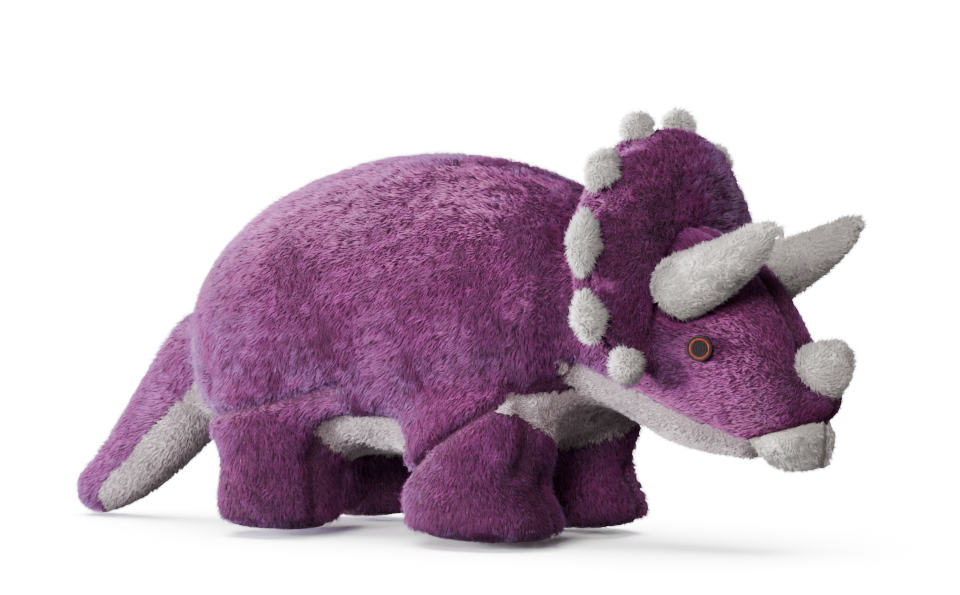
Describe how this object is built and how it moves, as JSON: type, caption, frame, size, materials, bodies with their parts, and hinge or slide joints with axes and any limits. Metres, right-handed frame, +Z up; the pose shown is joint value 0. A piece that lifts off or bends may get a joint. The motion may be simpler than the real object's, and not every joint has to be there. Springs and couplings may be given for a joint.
{
  "type": "stuffed horned dinosaur",
  "caption": "Stuffed plush horned dinosaur standing on stubby legs, with a padded neck frill edged in pale bumps, soft horns, a beak and a drooping tail.",
  "frame": {"origin": "centre of the bounding box in X and Y, on the plane that the soles stand on", "axes": "+X from the tail to the nose, +Y to the toy's left, +Z up"},
  "size_m": [0.4075, 0.1676, 0.1963],
  "materials": {
    "purple_plush": "long pile plush",
    "grey_plush": "short pile plush",
    "pale_plush": "shaggy plush",
    "filling": "loose polyester fibre",
    "black_thread": "satin stitch embroidery",
    "orange_thread": "satin stitch embroidery"
  },
  "bodies": {
    "torso": {"side_panel_left": "purple_plush", "side_panel_right": "purple_plush", "belly_panel": "grey_plush", "torso_stuffing": "filling"},
    "head": {"face_panel_left": "purple_plush", "face_panel_right": "purple_plush", "chin_panel": "grey_plush", "beak_left": "pale_plush", "beak_right": "pale_plush", "neck_panel": "purple_plush", "throat_panel": "grey_plush", "head_stuffing": "filling", "eye_outline_left": "black_thread", "eye_ring_left": "orange_thread", "pupil_left": "black_thread", "eye_outline_right": "black_thread", "eye_ring_right": "orange_thread", "pupil_right": "black_thread", "frill_front_panel": "purple_plush", "frill_back_panel": "purple_plush", "frill_padding": "filling", "frill_bump_left_1": "pale_plush", "frill_bump_left_2": "pale_plush", "frill_bump_left_3": "pale_plush", "frill_bump_left_4": "pale_plush", "frill_bump_left_5": "pale_plush", "frill_bump_right_1": "pale_plush", "frill_bump_right_2": "pale_plush", "frill_bump_right_3": "pale_plush", "frill_bump_right_4": "pale_plush", "frill_bump_right_5": "pale_plush"},
    "tail": {"tail_panel_left": "purple_plush", "tail_panel_right": "purple_plush", "tail_underside_panel": "grey_plush", "tail_stuffing": "filling"},
    "rear_leg_left": {"rear_leg_left_outer_panel": "purple_plush", "rear_leg_left_inner_panel": "purple_plush", "rear_leg_left_sole": "purple_plush", "rear_leg_left_stuffing": "filling"},
    "rear_leg_right": {"rear_leg_right_outer_panel": "purple_plush", "rear_leg_right_inner_panel": "purple_plush", "rear_leg_right_sole": "purple_plush", "rear_leg_right_stuffing": "filling"},
    "front_leg_left": {"front_leg_left_upper_panel": "purple_plush", "front_leg_left_paw_panel": "purple_plush", "front_leg_left_sole": "purple_plush", "front_leg_left_stuffing": "filling"},
    "front_leg_right": {"front_leg_right_upper_panel": "purple_plush", "front_leg_right_paw_panel": "purple_plush", "front_leg_right_sole": "purple_plush", "front_leg_right_stuffing": "filling"},
    "brow_horn_left": {"brow_horn_left_cover": "pale_plush", "brow_horn_left_stuffing": "filling"},
    "brow_horn_right": {"brow_horn_right_cover": "pale_plush", "brow_horn_right_stuffing": "filling"},
    "nose_horn": {"nose_horn_cover": "pale_plush", "nose_horn_stuffing": "filling"}
  },
  "joints": [
    {"name": "neck_nod", "type": "hinge", "parent": "torso", "child": "head", "pos_m": [0.0718, 0, 0.103], "axis": [0, 1, 0], "range_deg": [-8, 8], "stiffness_Nm_per_rad": 2},
    {"name": "tail_sway", "type": "hinge", "parent": "torso", "child": "tail", "pos_m": [-0.1162, 0, 0.084], "axis": [0, 0, 1], "range_deg": [-15, 15], "stiffness_Nm_per_rad": 0.6},
    {"name": "rear_leg_left_flex", "type": "hinge", "parent": "torso", "child": "rear_leg_left", "pos_m": [-0.0672, 0.039, 0.05], "axis": [0, 1, 0], "range_deg": [-7, 7], "stiffness_Nm_per_rad": 2},
    {"name": "rear_leg_right_flex", "type": "hinge", "parent": "torso", "child": "rear_leg_right", "pos_m": [-0.0672, -0.039, 0.05], "axis": [0, 1, 0], "range_deg": [-7, 7], "stiffness_Nm_per_rad": 2},
    {"name": "front_leg_left_flex", "type": "hinge", "parent": "torso", "child": "front_leg_left", "pos_m": [0.0348, 0.039, 0.05], "axis": [0, 1, 0], "range_deg": [-7, 7], "stiffness_Nm_per_rad": 2},
    {"name": "front_leg_right_flex", "type": "hinge", "parent": "torso", "child": "front_leg_right", "pos_m": [0.0348, -0.039, 0.05], "axis": [0, 1, 0], "range_deg": [-7, 7], "stiffness_Nm_per_rad": 2},
    {"name": "brow_horn_left_flex", "type": "hinge", "parent": "head", "child": "brow_horn_left", "pos_m": [0.1368, 0.03762, 0.117], "axis": [0, 1, 0], "range_deg": [-12, 12], "stiffness_Nm_per_rad": 0.15},
    {"name": "brow_horn_right_flex", "type": "hinge", "parent": "head", "child": "brow_horn_right", "pos_m": [0.1368, -0.03762, 0.117], "axis": [0, 1, 0], "range_deg": [-12, 12], "stiffness_Nm_per_rad": 0.15},
    {"name": "nose_horn_flex", "type": "hinge", "parent": "head", "child": "nose_horn", "pos_m": [0.18698, 0, 0.08006], "axis": [0, 1, 0], "range_deg": [-12, 12], "stiffness_Nm_per_rad": 0.15}
  ]
}
